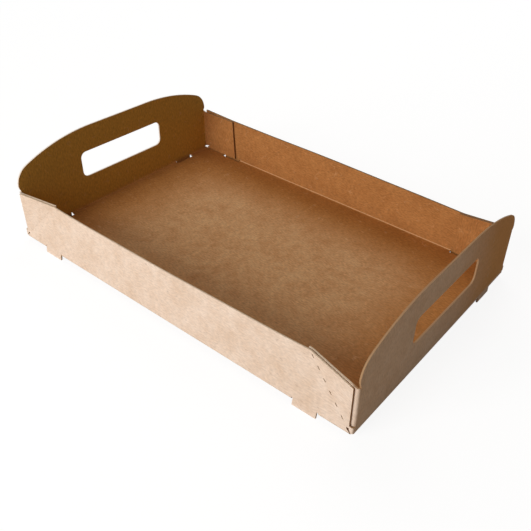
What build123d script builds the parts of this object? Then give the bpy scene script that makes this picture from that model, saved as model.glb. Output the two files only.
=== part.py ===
from build123d import *
import os
from math import atan2, degrees

# A shallow carrying tray folded from one blank of brown kraft board. The long walls and the arched end
# walls stand up from the floor, a flap at each side of an end wall is glued inside the long wall beside it,
# and short tabs cut out of the floor stay in the walls' planes and reach down as feet.
# Lengths are in millimetres. X runs along the tray, the near long wall faces -Y and Z is up.

# Board
board = 1.5
fold_radius = 1.2
layer_gap = 0.5
kerf = 0.6

# Floor
tray_length = 400.0
tray_width = 271.0

# Long walls: height over the floor's underside, and how far each main panel leans in at its top
side_height = 52.0
near_side_lean = 7.5
far_side_lean = 2.7

# Slanting creases that fold the long walls' ends: reach along the top edge, and start above the corner
crease_run = 49.0
crease_start = 3.0
crease_dash = 4.5
crease_dash_pitch = 10.3
crease_dash_first = 13.0

# Arched end walls: height, and how far each leans in at its top, less than zero where it leans out
end_height = 90.0
left_end_lean = -4.2
right_end_lean = 2.2
arch_flat = 76.0
shoulder_radius = 21.0
shoulder_limit_share = 0.8
shoulder_rise = 2.5
shoulder_inset = 0.6

# Hand holes
hand_hole_length = 111.0
hand_hole_height = 28.0
hand_hole_corner = 6.5
hand_hole_centre = 48.8

# Glue flaps, the free ends of the long walls beside them, and the bonded patch between the two layers
flap_length = 51.0
flap_floor_gap = 1.0
wall_end_setback = 4.0
wall_end_root = 8.5
bond_inset = 9.0
bond_length = 22.0
bond_low = 16.0
bond_height = 28.0

# Relief at each bottom corner: a punched hole, and a curved slit across the root of the long wall's end
relief_radius = 2.0
relief_inset = 1.2
relief_height = 4.0
slit_radius = 5.2
slit_low = 1.0

# Foot tabs, and how far their slots run past them at each end
foot_width = 23.0
foot_inset = 33.0
foot_drop = 4.0
slot_clearance = 1.6

# Cuts run past what they cut by this much
overrun = 2.0

NEAR, FAR = -1, 1
LEFT, RIGHT = -1, 1
side_leans = {NEAR: near_side_lean, FAR: far_side_lean}
end_leans = {LEFT: left_end_lean, RIGHT: right_end_lean}
half_length = tray_length / 2
half_width = tray_width / 2
whole_size = tray_length + tray_width

# The flaps lie inside the long walls, a small gap away
flap_inset = board + layer_gap


def side_slope(side):
    return side_leans[side] / side_height


def end_slope(end):
    return end_leans[end] / end_height


def end_plane(end):
    """Plane of an end wall's outer face: X runs across the tray, Y up the wall and Z outwards."""
    return Plane(origin=(end * half_length, 0, 0), x_dir=(0, end, 0), z_dir=(end, 0, end_slope(end)))


def side_plane(side):
    """Plane of a long wall's main panel, outer face: X runs along the wall, Y up it and Z outwards."""
    return Plane(origin=(0, side * half_width, 0), x_dir=(-side, 0, 0), z_dir=(0, side, side_slope(side)))


def trough(inset):
    """Everything between the long walls' outer faces, each moved inwards by an inset.

    Each long side is a main panel that leans in and two corner panels that stand out to the upright corners,
    with the slanting creases between them.
    """
    def floor_corner(end, side):
        return (end * half_length, side * (half_width - inset), 0)

    def crease_low(end, side):
        x = end * (half_length - end_slope(end) * crease_start)
        return (x, side * (half_width - inset - side_slope(side) * crease_start), crease_start)

    def crease_high(end, side):
        return (end * (half_length - crease_run), side * (half_width - inset - side_leans[side]), side_height)

    def top_corner(end, side):
        return (end * (half_length - end_slope(end) * side_height), side * (half_width - inset), side_height)

    outlines = [
        [floor_corner(LEFT, NEAR), floor_corner(RIGHT, NEAR),
         floor_corner(RIGHT, FAR), floor_corner(LEFT, FAR)],
        [top_corner(LEFT, NEAR), crease_high(LEFT, NEAR), crease_high(RIGHT, NEAR), top_corner(RIGHT, NEAR),
         top_corner(RIGHT, FAR), crease_high(RIGHT, FAR), crease_high(LEFT, FAR), top_corner(LEFT, FAR)],
    ]
    for side in (NEAR, FAR):
        outlines.append([floor_corner(LEFT, side), floor_corner(RIGHT, side), crease_low(RIGHT, side),
                         crease_high(RIGHT, side), crease_high(LEFT, side), crease_low(LEFT, side)])
        for end in (LEFT, RIGHT):
            outlines.append([crease_low(end, side), crease_high(end, side), top_corner(end, side)])
    for end in (LEFT, RIGHT):
        outlines.append([floor_corner(end, NEAR), floor_corner(end, FAR), crease_low(end, FAR),
                         top_corner(end, FAR), top_corner(end, NEAR), crease_low(end, NEAR)])
    faces = [Face(Wire.make_polygon([Vector(*point) for point in outline])) for outline in outlines]
    return Solid(Shell(faces))


def beyond_end(end, depth):
    """Block of all that lies past a plane set a depth inside an end wall's outer face."""
    block = Box(whole_size, whole_size, whole_size, align=(Align.CENTER, Align.CENTER, Align.MIN))
    return end_plane(end) * Pos(0, 0, -depth) * block


def between_heights(low, high):
    """Block of all that lies between two heights."""
    block = Box(whole_size, whole_size, high - low, align=(Align.CENTER, Align.CENTER, Align.MIN))
    return Pos(0, 0, low) * block


def tub():
    """Floor and walls up to the long walls' height, with the folds at the floor rounded outside."""
    outside = trough(0)
    outside = fillet(outside.edges().group_by(Axis.Z)[0], fold_radius)
    inside = trough(board) & between_heights(board, side_height + overrun)
    for end in (LEFT, RIGHT):
        inside -= beyond_end(end, board)
    return outside - inside


def free_wall_ends():
    """Strip of each long wall that is cut away beside the upright corner folds."""
    strips = Part()
    for end in (LEFT, RIGHT):
        strips += beyond_end(end, wall_end_setback)
    strips &= between_heights(wall_end_root, side_height + overrun)
    return strips - trough(flap_inset)


def under_flap_edge(end):
    """Block of all that lies under a flap's top edge, which is square to the end wall and meets the long wall's
    top edge at the flap's free end."""
    place = end_plane(end).to_local_coords(Vector(end * (half_length - flap_length), 0, side_height))
    block = Box(whole_size, whole_size, whole_size, align=(Align.CENTER, Align.MAX, Align.CENTER))
    return end_plane(end) * Pos(0, place.Y, 0) * block


def glue_flaps():
    """Flaps of the end walls, and the patches where they are bonded to the long walls."""
    layer = trough(flap_inset) - trough(flap_inset + board)
    layer &= between_heights(board + flap_floor_gap, side_height)
    bond = trough(board) - trough(flap_inset)
    bond &= between_heights(bond_low, bond_low + bond_height)
    flaps = Part()
    for end in (LEFT, RIGHT):
        flap = layer & beyond_end(end, flap_length)
        # An end wall that leans out lowers its flaps at the corner
        if end_leans[end] < 0:
            flap &= under_flap_edge(end)
        flaps += flap
        flaps += bond & (beyond_end(end, bond_inset + bond_length) - beyond_end(end, bond_inset))
    return flaps


def arch(end):
    """Arched upper part of an end wall: a flat top, two crown arcs and two round shoulders."""
    half = half_width - flap_inset - shoulder_inset
    shoulder_low = side_height + shoulder_rise
    rise = end_height - shoulder_low
    shoulder = min(shoulder_radius, rise * shoulder_limit_share)
    # The crown arc leaves the flat top level and meets the shoulder's arc without a corner
    reach = half - shoulder - arch_flat / 2
    crown = (reach ** 2 + rise ** 2 - shoulder ** 2) / (2 * (rise - shoulder))
    crown_low = end_height - crown
    turn = degrees(atan2(shoulder_low - crown_low, reach))
    outline = [
        Line((0, side_height / 2), (half, side_height / 2)),
        Line((half, side_height / 2), (half, shoulder_low)),
        CenterArc((half - shoulder, shoulder_low), shoulder, 0, turn),
        CenterArc((arch_flat / 2, crown_low), crown, turn, 90 - turn),
        Line((arch_flat / 2, end_height), (0, end_height)),
        Line((0, end_height), (0, side_height / 2)),
    ]
    right_half = make_face(outline)
    return extrude(end_plane(end) * (right_half + mirror(right_half, Plane.YZ)), -board)


def hand_hole(end):
    """Cutter for the rounded hand hole through an end wall."""
    hole = RectangleRounded(hand_hole_length, hand_hole_height, hand_hole_corner)
    return extrude(end_plane(end) * Pos(0, hand_hole_centre) * hole, board + overrun, both=True)


def round_corner_folds(body):
    """Rounds the upright folds between the end walls and their flaps."""
    folds = []
    for edge in body.edges():
        place = edge.center()
        end = RIGHT if place.X > 0 else LEFT
        off_end = abs(end_plane(end).to_local_coords(place).Z)
        off_side = abs(abs(place.Y) - (half_width - flap_inset))
        if edge.length > side_height / 2 and off_end < layer_gap / 2 and off_side < board / 2:
            folds.append(edge)
    return fillet(folds, fold_radius)


def corner_reliefs():
    """Cutters for the punched hole and the curved slit at each bottom corner."""
    cuts = Part()
    depth = board + layer_gap / 2
    punch = Cylinder(relief_radius, relief_height + overrun, align=(Align.CENTER, Align.CENTER, Align.MIN))
    ring = Circle(slit_radius) - Circle(slit_radius - kerf)
    for end in (LEFT, RIGHT):
        for side in (NEAR, FAR):
            x, y = end * (half_length - relief_inset), side * (half_width - relief_inset)
            cuts += Pos(x, y, -overrun) * punch
            # The wall's own X runs the other way on the far side
            along = -side * end
            inwards = Align.MIN if along < 0 else Align.MAX
            slit = ring & Rectangle(slit_radius, slit_radius, align=(inwards, Align.MAX))
            place = Pos(along * (half_length - relief_inset), slit_radius + slit_low)
            cuts += extrude(side_plane(side) * place * slit, depth, both=True)
    return cuts


def crease_dashes():
    """Cutters for the row of short cuts along each slanting crease."""
    cuts = Part()
    rise = side_height - crease_start
    depth = board + layer_gap / 2
    for end in (LEFT, RIGHT):
        for side in (NEAR, FAR):
            lean_low = side_slope(side) * crease_start
            low = Vector(end * half_length, side * (half_width - lean_low), crease_start)
            run = Vector(-end * crease_run, -side * side_slope(side) * rise, rise)
            count = int((run.length - crease_dash_first) // crease_dash_pitch) + 1
            for step in range(count):
                centre = low + run.normalized() * (crease_dash_first + step * crease_dash_pitch)
                dash = Box(crease_dash, kerf, depth * 2)
                cuts += Plane(origin=centre, x_dir=run, z_dir=side_plane(side).z_dir) * dash
    return cuts


def tab_places():
    """Each tab's wall plane, the upright plane under it, and whether the tab is turned down."""
    places = []
    for side in (NEAR, FAR):
        upright = Plane(origin=(0, side * half_width, 0), x_dir=(-side, 0, 0), z_dir=(0, side, 0))
        middle = half_length - foot_inset - foot_width / 2
        for along in (-middle, middle):
            places.append((side_plane(side) * Pos(along, 0), upright * Pos(along, 0), True))
    for end in (LEFT, RIGHT):
        upright = Plane(origin=(end * half_length, 0, 0), x_dir=(0, end, 0), z_dir=(end, 0, 0))
        middle = half_width - foot_inset - foot_width / 2
        for along in (-middle, middle):
            # On the right end wall the tab by the near corner lies flat in the floor
            turned_down = not (end == RIGHT and along < 0)
            places.append((end_plane(end) * Pos(along, 0), upright * Pos(along, 0), turned_down))
    return places


def add_feet(body):
    """Turns the tabs down out of the floor, and leaves the slots that they were cut from."""
    low_side = (Align.CENTER, Align.MIN, Align.MAX)
    reach = foot_drop + overrun
    slot_length = foot_width + slot_clearance * 2
    slot_height = overrun + board + flap_floor_gap / 2
    for wall, upright, turned_down in tab_places():
        if turned_down:
            slot = Box(slot_length, slot_height, foot_drop + board, align=low_side)
            tab = Pos(0, -reach, 0) * Box(foot_width, reach + board * 2, board, align=low_side)
            body -= upright * Pos(0, -overrun, 0) * slot
            body += (wall * tab) & between_heights(-foot_drop, side_height)
        else:
            cut = Box(foot_width, slot_height, foot_drop, align=low_side)
            cut -= Box(foot_width - kerf * 2, slot_height, foot_drop - kerf, align=low_side)
            body -= upright * Pos(0, -overrun, -board) * cut
    return body


def folded_tray():
    """The whole tray, standing on its feet."""
    tray = round_corner_folds(tub() - free_wall_ends() + glue_flaps())
    for end in (LEFT, RIGHT):
        tray += arch(end)
    for end in (LEFT, RIGHT):
        tray -= hand_hole(end)
    tray = add_feet(tray)
    tray -= corner_reliefs()
    tray -= crease_dashes()
    # The feet stand at height zero, midway between the tray's outermost points
    box = tray.bounding_box()
    return Pos(-box.center().X, -box.center().Y, -box.min.Z) * tray


os.makedirs("parts", exist_ok=True)
export_step(folded_tray(), "parts/folded_tray.step")
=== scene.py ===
"""A carrying tray of kraft board, folded from one blank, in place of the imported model, and its stage."""
import math
from functools import partial

import bpy
import numpy as np
from bpy.props import FloatProperty, FloatVectorProperty, PointerProperty
from mathutils import Matrix, Vector


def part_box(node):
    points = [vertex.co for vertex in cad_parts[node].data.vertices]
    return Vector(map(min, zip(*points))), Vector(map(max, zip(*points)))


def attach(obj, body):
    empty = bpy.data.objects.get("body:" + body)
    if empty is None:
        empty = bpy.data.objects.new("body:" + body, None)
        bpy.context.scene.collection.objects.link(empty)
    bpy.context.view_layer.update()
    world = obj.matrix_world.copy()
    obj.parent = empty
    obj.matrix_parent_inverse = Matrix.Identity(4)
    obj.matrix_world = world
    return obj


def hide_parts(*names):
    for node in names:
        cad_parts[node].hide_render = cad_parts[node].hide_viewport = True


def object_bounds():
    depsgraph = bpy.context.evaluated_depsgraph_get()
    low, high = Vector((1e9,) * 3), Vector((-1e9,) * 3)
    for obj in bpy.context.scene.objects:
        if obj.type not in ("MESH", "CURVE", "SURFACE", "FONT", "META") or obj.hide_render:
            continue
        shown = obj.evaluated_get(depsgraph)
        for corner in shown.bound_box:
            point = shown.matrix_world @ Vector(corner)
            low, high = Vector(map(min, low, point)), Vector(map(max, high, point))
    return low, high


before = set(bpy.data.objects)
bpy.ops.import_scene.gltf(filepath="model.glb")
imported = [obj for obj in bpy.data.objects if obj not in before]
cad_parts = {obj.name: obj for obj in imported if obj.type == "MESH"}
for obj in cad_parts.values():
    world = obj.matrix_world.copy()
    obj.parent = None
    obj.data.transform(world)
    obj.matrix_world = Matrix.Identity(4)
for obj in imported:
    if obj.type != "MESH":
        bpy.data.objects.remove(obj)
CAD_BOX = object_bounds()

bl_info = {
    "name": "Folded Board Tray",
    "version": (1, 0, 0),
    "blender": (4, 5, 0),
    "location": "3D View > Sidebar > Tray",
    "description": "Folds a carrying tray from one blank of kraft board",
    "category": "Object",
}

MM = 0.001
QUARTER_TURN = math.pi / 2
NODE = "folded_tray"
NEAR, FAR = -1, 1
LEFT, RIGHT = -1, 1
SIDES = (NEAR, FAR)
ENDS = (LEFT, RIGHT)

# Distance under which two places on the board count as one, and a shift of the welding grid by a share of it
SAME_PLACE = 0.001 * MM
WELD_SHIFT_SHARE = 0.377
# Points and steps of the board's grids
FOLD_POINTS, TAB_POINTS, RING_POINTS = 7, 4, 15
SHOULDER_POINTS, CROWN_POINTS, HOLE_CORNER_POINTS = 40, 80, 24
ROOT_STEP = 1.2 * MM
FLAP_CELL_SHARE, ARCH_CELL_SHARE = 0.6, 0.75
PANEL_FIRST_SHARE, PANEL_STEP_SHARE = 0.03, 0.09
# Beside a slanting crease a long wall's columns lie along it, and over the next stretch they turn upright
SLANT_BAND, SLANT_FADE = 5 * MM, 80 * MM
# Share of a corner panel's foot that the slit takes
SLIT_SHARE = 0.4
# How far fibres are broken along the slanting creases, the end walls' folds and the bottom corners
SLANT_BREAK_SHARE, END_BREAK_SHARE, CORNER_BREAK_SHARE = 0.55, 0.2, 0.3
# Slow waves of the floor: share of the bow, radians per metre along X and along Y, and start
FLOOR_WAVES = ((1.0, 17, 9, 0.6), (0.7, -11, 23, 2.1))
FLOOR_SWELL_SHARE = 1.2
# Slow waves of the long walls: share of the bow, radians per metre along X, start, and its change by side
WALL_WAVES = ((1.0, 21, 1.3, 0), (0.5, 47, 0.4, 2))
# The walls' own unevenness starts this far inside the floor's edge and is full after the second length
WALL_BAND, WALL_FADE = 20 * MM, 10 * MM
SHARP_ANGLE = math.radians(35)

# Zones of the liners in the flat blank: how much of the tone they take there, and then for X and for Y, in
# millimetres, a middle and the distances from it at which the zone has faded out and at which it is full
# Painted light and sheen over the floor's middle, reaching further in front to lift the near wall's shadow
PAINTED_LIGHT_ZONE = (1.0, ((0, 190, 95), (-12, 130, 52)))
# Painted shade along the floor's folds, outside the painted light of its middle
FLOOR_ZONE = (0.45, ((0, 199, 195), (0, 134, 130)))
# Painted shade tones of the left end wall inside and of the right end wall's far half outside
LEFT_END_SHADE_ZONE = (0.85, ((-300, 102, 94), (0, 134, 130)))
RIGHT_END_SHADE_ZONE = (0.85, ((300, 100, 94), (130, 150, 20)))
OUTER_NAP, INNER_NAP = 0.55, 1.0

# Settings that the materials' nodes share
ABSOLUTE, SUBTRACT, MULTIPLY, MULTIPLY_ADD, MAXIMUM = (
    {"operation": name} for name in ("ABSOLUTE", "SUBTRACT", "MULTIPLY", "MULTIPLY_ADD", "MAXIMUM"))
SMOOTH = {"interpolation_type": "SMOOTHSTEP"}
MIX_COLOURS = {"data_type": "RGBA"}

# The stage in metres: the square lamps' places and sides, the point they face, and the paper sweep
KEY_PLACE, KEY_SIDE = (-0.35, -1.7, 0.75), 1.05
TOP_PLACE, TOP_SIDE = (-0.5, 0.9, 1.1), 1.1
LAMP_AIM = (0, 0, 0.03)
SWEEP_REACH = 12.0
# The sweep's shadow is full up to the first distance and has faded to white at the second
SHADOW_FULL, SHADOW_GONE = 0.35, 1.1
SWEEP_GLOW, SWEEP_GREY = 0.9, 0.16

# The camera stands in front of the tray's right end and looks down at it; angles are in degrees
IMAGE_SIDE_PX = 531
FOCAL_PX = 685.68
CAMERA_PLACE = (350.35 * MM, -442.0 * MM, 404.33 * MM)
CAMERA_YAW, CAMERA_PITCH, CAMERA_ROLL = -37.826, -36.607, 2.26
SENSOR_WIDTH = 36.0
CLIP_START, CLIP_END = 0.01, 100


def linear(code):
    """Linear colour of an sRGB hex code."""
    shares = [int(code[place:place + 2], 16) / 255 for place in (0, 2, 4)]
    return tuple(s / 12.92 if s <= 0.04045 else ((s + 0.055) / 1.055) ** 2.4 for s in shares)


def length(name, description, millimetres):
    """Property that holds a length, given in millimetres and kept in metres."""
    default = millimetres * MM
    return FloatProperty(name=name, description=description, default=default, unit="LENGTH", precision=4)


def colour(name, description, code):
    """Property that holds a colour, given as an sRGB hex code and kept as a linear colour."""
    return FloatVectorProperty(name=name, description=description, default=linear(code), subtype="COLOR")


def level(name, description, value):
    """Property that holds the share of a colour that a lamp brings out on a surface that faces it."""
    return FloatProperty(name=name, description=description, default=value, min=0, subtype="FACTOR")


class TraySizes(bpy.types.PropertyGroup):
    """Sizes of the board, its folds and its cuts. The twists, bulges, bows, skew and falls are fitted to the
    photograph's edges."""
    board: length("Board", "Thickness of the board", 1.5)
    fold_radius: length("Fold radius", "Outer radius of the folds", 2.4)
    crease_bead: length("Crease bead", "Height of the bead that creasing raises inside a floor fold", 0.4)
    crease_round: length("Crease rounding", "Half width of a slanting crease", 1.0)
    layer_gap: length("Layer gap", "Gap between a flap and the long wall at the corner", 0.6)
    flap_lift: length("Flap lift", "How much further a flap's free edge stands off the long wall", 0.4)
    tray_length: length("Length", "Floor's length along X", 400)
    tray_width: length("Width", "Floor's width along Y", 271)
    side_height: length("Long wall height", "Height of the long walls over the floor's underside", 52)
    near_lean: length("Near lean", "How far the near long wall leans in at its top", 7.5)
    near_twist: length("Near twist", "How much more the near long wall leans in at its right end", 1.5)
    near_bulge: length("Near bulge", "How far the near long wall's top edge bulges out in its middle", 2.7)
    far_lean: length("Far lean", "How far the far long wall leans in at its top", 4.9)
    far_twist: length("Far twist", "How much more the far long wall leans in at its right end", 2.2)
    far_bulge: length("Far bulge", "How far the far long wall's top edge bulges out in its middle", 1.1)
    left_fall: length("Left fall", "Fall of the near long wall's top edge to its left corner", 1.9)
    right_fall: length("Right fall", "Fall of the near long wall's top edge to its right corner", 4.5)
    crease_run: length("Crease run", "Reach of a slanting crease along the top edge", 49)
    end_height: length("End wall height", "Height of the arched end walls", 90)
    left_lean: length("Left lean", "How far the left end wall leans in at its top", -4.2)
    right_lean: length("Right lean", "How far the right end wall leans in at its top", 2.2)
    left_bow: length("Left bow", "How far the left end wall's top bows in at its middle", 1.4)
    left_skew: length("Left skew", "How much of the left end wall's bow goes to its far half", 3.6)
    right_bow: length("Right bow", "How far the right end wall's top bows out at its middle", 0.8)
    arch_flat: length("Arch flat", "Straight run at the top of an arch", 76)
    shoulder_radius: length("Shoulder radius", "Radius of an arch's round shoulders", 21)
    shoulder_rise: length("Shoulder rise", "Height of the shoulders' start over the long walls", 2.5)
    shoulder_inset: length("Shoulder inset", "How far an arch is cut in from the corner fold", 0.6)
    hole_length: length("Hand hole length", "Length of a hand hole", 111)
    hole_height: length("Hand hole height", "Height of a hand hole", 28)
    hole_corner: length("Hand hole corner", "Corner radius of a hand hole", 6.5)
    hole_centre: length("Hand hole centre", "Height of a hand hole's middle", 48.8)
    flap_length: length("Flap length", "Reach of a glue flap from the end wall", 51)
    flap_floor_gap: length("Flap floor gap", "Gap between a flap and the floor", 1.2)
    flap_drop: length("Flap drop", "How far a flap's top edge lies under the long wall's", 0.1)
    end_setback: length("Wall end setback", "Distance of a long wall's free end from the end wall", 4)
    end_root: length("Wall end root", "Height at which a long wall's free end starts", 8.5)
    root_round: length("Root rounding", "Outer radius of the corner under a long wall's free end", 1.7)
    slit_top: length("Slit top", "Height at which the curved slit at a bottom corner starts", 6.2)
    slit_sag: length("Slit sag", "How far the slit's curve stands off a straight line", 0.7)
    relief_height: length("Relief height", "Height of the punched relief at the far bottom corners", 4)
    flap_clip: length("Flap clip", "Reach of the clipped lower corner of a flap", 7)
    kerf: length("Kerf", "Width of the cuts in the board", 0.95)
    closed_kerf: length("Closed kerf", "Width of the creases' cuts at the left end, now closed up", 0.3)
    dash: length("Dash", "Length of the cuts along a slanting crease", 3.6)
    dash_pitch: length("Dash pitch", "Spacing of the cuts along a slanting crease", 10.3)
    dash_first: length("First dash", "Distance of the lowest cut from the crease's foot", 13)
    foot_width: length("Foot width", "Width of a foot tab", 23)
    foot_inset: length("Foot inset", "Distance of a foot tab from the corner", 33)
    foot_drop: length("Foot drop", "How far a foot tab reaches under the floor", 4)
    slot_clearance: length("Slot clearance", "How far a foot tab's slot runs past it at each end", 1.6)
    cell: length("Cell", "Largest spacing of the grid on the board", 4.5)
    bow: length("Bow", "Height of the board's slight unevenness", 0.35)


class BoardFinish(bpy.types.PropertyGroup):
    """Colours of the board's liners and cut edges, fitted to the photograph under the stage's lamps."""
    outer_light: colour("Outer liner, light", "Pale fibres of the outer liner", "FBEADB")
    outer_dark: colour("Outer liner, dark", "Brown fibres of the outer liner", "DFC4AB")
    # Painted shade of the right end wall outside, browner towards its far corner
    outer_end_shade: colour("Outer liner, painted shade", "Browner tone by the right end wall's far corner", "CE923F")
    outer_crease: colour("Creased outer fibre", "Broken fibre along the creases outside", "EAD3B8")
    inner_light: colour("Inner liner, light", "Pale fibres of the inner liner", "C58A50")
    inner_dark: colour("Inner liner, dark", "Brown fibres of the inner liner", "A46A36")
    # Painted shade of the left end wall inside, in the olive tone its shade takes
    inner_end_shade: colour("Inner liner, painted shade", "Olive tone of the left end wall inside, painted shade", "C79E46")
    # Pale broken fibre, which inside the long walls' floor folds also paints a highlight
    inner_crease: colour("Creased inner fibre", "Broken fibre along the creases inside, and a painted highlight along the floor folds", "EBC291")
    # Painted light and sheen over the middle of the floor
    painted_light: colour("Floor, painted light", "Paler middle of the floor, a painted pool of light and sheen", "CDA274")
    # Painted shade of the floor along its folds
    fold_shade: colour("Floor by the folds", "Painted shade of the floor along its folds", "A76D28")
    speck: colour("Specks", "Dark shives in both liners", "7A5230")
    edge_outer: colour("Cut edge, outer", "Cut edge of the outer liner and the flute", "EAD5B8")
    edge_inner: colour("Cut edge, inner", "Cut edge of the inner liner", "8A6038")
    # Painted shade on the cut edges away from the lit near wall
    edge_far_shade: colour("Cut edge, far shade", "Darker cut edges away from the lit near wall, painted shade", "7E6448")
    edge_pale: colour("Cut edge, pale", "Pale cut edges of the left end wall", "F5E8D8")
    # Painted shade on the cut edges of the right end wall
    edge_right_shade: colour("Cut edge, right end shade", "Greyed cut edges of the right end wall", "B3906C")


class StageLight(bpy.types.PropertyGroup):
    """Levels of the lamps, and the colours of the stage."""
    key: level("Key", "Level of the low soft lamp in front, to the left", 0.775)
    top: level("Top", "Level of the soft lamp above", 0.35)
    ambient: level("Ambient", "Level of the light from all round", 0.14)
    ambient_colour: colour("Ambient colour", "Colour of the light from all round", "FFE8CC")
    floor_colour: colour("Floor", "Colour of the floor", "BAA286")


def side_slope(tray, side):
    """Lean of a long wall's main panel per unit of height."""
    return (tray.near_lean if side == NEAR else tray.far_lean) / tray.side_height


def end_slope(tray, end):
    """Lean of an end wall per unit of height."""
    return (tray.left_lean if end == LEFT else tray.right_lean) / tray.end_height


def fold_centre(half_size, radius, slope):
    """Distance of a floor fold's axis from the middle: half the floor's size, less the radius times one plus
    the sine of the wall's lean, over its cosine."""
    lean = math.atan(slope)
    return half_size - radius * (1 + math.sin(lean)) / math.cos(lean)


def fold_top(radius, slope):
    """Height where a wall's flat face starts: the fold's radius times one plus the sine of its lean."""
    return radius * (1 + math.sin(math.atan(slope)))


def side_fold_centre(tray, side):
    """Distance of a long wall's floor fold from the middle."""
    return fold_centre(tray.tray_width / 2, tray.fold_radius, side_slope(tray, side))


def end_fold_centre(tray, end):
    """Distance of an end wall's floor fold from the middle."""
    return fold_centre(tray.tray_length / 2, tray.fold_radius, end_slope(tray, end))


def blank_reach(centre, radius, slope, z):
    """Distance from the middle in the flat blank: the floor up to the fold, the fold's arc, then the wall's
    height over the cosine of its lean."""
    lean = math.atan(slope)
    return centre + radius * (lean + QUARTER_TURN) + (z - fold_top(radius, slope)) / math.cos(lean)


def end_blank_reach(tray, end, z):
    """Distance of an end wall's height from the middle in the flat blank."""
    return blank_reach(end_fold_centre(tray, end), tray.fold_radius, end_slope(tray, end), z)


def end_face_x(tray, end, z):
    """Distance of an end wall's outer face from the middle at a height."""
    return tray.tray_length / 2 - end_slope(tray, end) * z


def free_end(tray, end, z):
    """Distance of a long wall's free end from the middle at a height."""
    return end_face_x(tray, end, z) - tray.end_setback


def crease_x(tray, side, end, z):
    """Distance of a slanting crease from the middle at a height: a straight line from the floor's corner to
    the top edge, which sags to a parabola along the slit at its foot."""
    low = fold_top(tray.fold_radius, side_slope(tray, side))
    start = end_fold_centre(tray, end)
    rise_share = (z - low) / (tray.side_height - low)
    slit_share = np.clip((z - low) / (tray.slit_top - low), 0, 1)
    straight = start + rise_share * (tray.tray_length / 2 - tray.crease_run - start)
    return straight - tray.slit_sag * 4 * slit_share * (1 - slit_share)


def soft_ramp(value, reach):
    """Zero below, the value itself above, and a parabola between them within a reach of zero."""
    return np.where(np.abs(value) < reach, (value + reach) ** 2 / (4 * reach), np.maximum(value, 0))


def side_bend(tray, side, x):
    """How much further in a long wall's top edge stands than a flat wall's: a twist that grows from one
    crease to the other, less a bulge that falls with the square of the distance from the middle."""
    share = np.clip(x / (tray.tray_length / 2 - tray.crease_run), -1, 1)
    twist, bulge = (tray.near_twist, tray.near_bulge) if side == NEAR else (tray.far_twist, tray.far_bulge)
    return twist * share - bulge * (1 - share ** 2)


def wall_lean(tray, side, x, z):
    """How far a long wall's face stands in: its slope times the height and its bend times the share of the
    height, less what each corner panel stands out past its crease."""
    slope = side_slope(tray, side)
    low = fold_top(tray.fold_radius, slope)
    rooted = np.clip((z - low) / tray.end_root, 0, 1)
    lean = slope * z + side_bend(tray, side, x) * np.maximum(z - low, 0) / (tray.side_height - low)
    for end in ENDS:
        past = end * x - crease_x(tray, side, end, z)
        top_lean = slope * tray.side_height + side_bend(tray, side, end * tray.tray_length / 2)
        spread = top_lean / (tray.crease_run - end_slope(tray, end) * tray.side_height)
        lean = lean - rooted * spread * soft_ramp(past, tray.crease_round)
    return lean


def crease_nearness(tray, side, x, z):
    """Most on the slanting creases of a long wall, falling to zero over their width."""
    gaps = [np.abs(end * x - crease_x(tray, side, end, z)) for end in ENDS]
    return SLANT_BREAK_SHARE * np.exp(-(np.minimum(*gaps) / tray.crease_round) ** 2)


def corner_fall(tray, side, end):
    """How far the top edge falls from a slanting crease to the corner; the far long wall's stays level."""
    if side == FAR:
        return 0.0
    return tray.left_fall if end == LEFT else tray.right_fall


def over_root(tray, z):
    """Share of the height between the free ends' root and the long walls' top edge."""
    return np.clip((z - tray.end_root) / (tray.side_height - tray.end_root), 0, 1)


def panel_fall(tray, side, x, z):
    """How far a long wall's rows fall past its slanting creases: by the share of the way from the crease to
    the free end, and by the share of the height over the free end's root."""
    fall = 0.0
    for end in ENDS:
        reach = free_end(tray, end, tray.side_height) - crease_x(tray, side, end, tray.side_height)
        past = np.clip((end * x - crease_x(tray, side, end, z)) / reach, 0, 1)
        fall = fall + corner_fall(tray, side, end) * past * over_root(tray, z)
    return fall


def fill_in(marks, step):
    """The marks in order, with even steps between them, none longer than the step given."""
    marks = np.sort(np.asarray(marks, float))
    marks = marks[np.append(True, np.diff(marks) > SAME_PLACE)]
    counts = np.maximum(np.ceil(np.diff(marks) / step).astype(int), 1)
    spans = [np.linspace(a, b, n, endpoint=False) for a, b, n in zip(marks[:-1], marks[1:], counts)]
    return np.concatenate([*spans, marks[-1:]])


def within(values, low, high=math.inf):
    """The values from a low one to a high one, both counted in."""
    return values[(values > low - SAME_PLACE) & (values < high + SAME_PLACE)]


def in_ranges(values, ranges):
    """Whether each value lies in one of the ranges."""
    return np.any([(values > low) & (values < high) for low, high in ranges], axis=0)


def middles(values):
    """Middles between neighbouring values."""
    return (values[:-1] + values[1:]) / 2


def steps_along(points):
    """Lengths of a polyline's steps."""
    return np.linalg.norm(np.diff(points, axis=0), axis=1)


def length_shares(points):
    """Share of a polyline's length at each of its points."""
    steps = steps_along(points)
    return np.concatenate([[0], np.cumsum(steps)]) / steps.sum()


def resample(points, shares):
    """Points at shares of a polyline's length."""
    along = length_shares(points)
    return np.stack([np.interp(shares, along, points[:, axis]) for axis in (0, 1)], axis=1)


def arc(centre, radius, start, stop, count):
    """Points of an arc from one angle to another, in degrees."""
    angles = np.radians(np.linspace(start, stop, count))
    return np.stack([centre[0] + radius * np.cos(angles), centre[1] + radius * np.sin(angles)], axis=1)


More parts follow.
